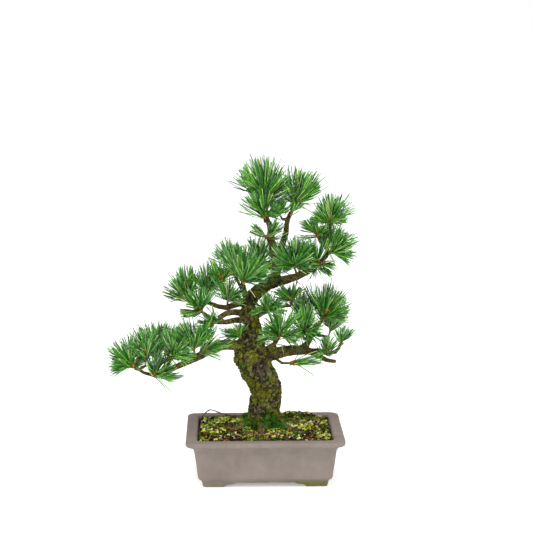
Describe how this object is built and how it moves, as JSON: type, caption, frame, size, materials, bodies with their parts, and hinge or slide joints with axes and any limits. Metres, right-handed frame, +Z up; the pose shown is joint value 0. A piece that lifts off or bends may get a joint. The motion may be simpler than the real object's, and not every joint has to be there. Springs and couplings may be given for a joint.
{
  "type": "bonsai tree in a pot",
  "caption": "White pine bonsai with a curved mossy trunk and brushes of green needles, in a low rectangular unglazed pot with a flat rim and corner feet.",
  "frame": {"origin": "middle of the bottom of the bounding box, on the surface that the pot's feet stand on", "axes": "+Z up, +X to the right along the pot's long side seen from the tree's front, +Y from the front to the back"},
  "size_m": [0.3222, 0.203, 0.4156],
  "materials": {
    "clay": "unglazed grey-brown stoneware, dry and matte, with a faint bloom of green algae at the feet",
    "screen_plastic": "dark moulded plastic mesh",
    "clip_wire": "brown anodised soft wire",
    "soil_mix": "damp dark potting grit with cream pumice grains and pale leaflets",
    "moss": "short velvety moss, vivid to yellow green",
    "dry_root": "thin dry reddish-brown root",
    "bark": "rough flaking grey-brown pine bark under yellow-green moss",
    "needles": "fresh five-needle bundles, satin green outside and bluish grey-green inside, with orange-brown sheaths"
  },
  "bodies": {
    "root": {"pot": "clay", "drain_screen_left": "screen_plastic", "screen_clip_left": "clip_wire", "drain_screen_right": "screen_plastic", "screen_clip_right": "clip_wire", "trunk_and_branches": "bark", "soil": "soil_mix", "moss_front_left": "moss", "moss_front_right": "moss", "moss_right": "moss", "moss_back_right": "moss", "dry_root_back": "dry_root", "dry_root_front": "dry_root", "needles_low_left_1": "needles", "needles_low_left_2": "needles", "needles_low_left_3": "needles", "needles_low_left_4": "needles", "needles_low_left_5": "needles", "needles_low_left_6": "needles", "needles_low_left_7": "needles", "needles_low_left_8": "needles", "needles_low_left_9": "needles", "needles_mid_left_1": "needles", "needles_mid_left_2": "needles", "needles_mid_left_3": "needles", "needles_mid_left_4": "needles", "needles_mid_left_5": "needles", "needles_mid_left_6": "needles", "needles_mid_left_7": "needles", "needles_mid_left_8": "needles", "needles_mid_left_9": "needles", "needles_upper_right_1": "needles", "needles_upper_right_2": "needles", "needles_upper_right_3": "needles", "needles_upper_right_4": "needles", "needles_upper_right_5": "needles", "needles_upper_right_6": "needles", "needles_upper_right_7": "needles", "needles_crown_1": "needles", "needles_crown_2": "needles", "needles_crown_3": "needles", "needles_crown_4": "needles", "needles_crown_5": "needles", "needles_crown_6": "needles", "needles_crown_7": "needles", "needles_crown_8": "needles", "needles_right_1": "needles", "needles_right_2": "needles", "needles_right_3": "needles", "needles_right_4": "needles", "needles_right_5": "needles", "needles_right_6": "needles", "needles_right_7": "needles", "needles_right_8": "needles", "needles_right_9": "needles", "needles_right_10": "needles", "needles_right_11": "needles", "needles_trunk_left_1": "needles", "needles_back_1": "needles", "needles_back_2": "needles"}
  },
  "joints": []
}
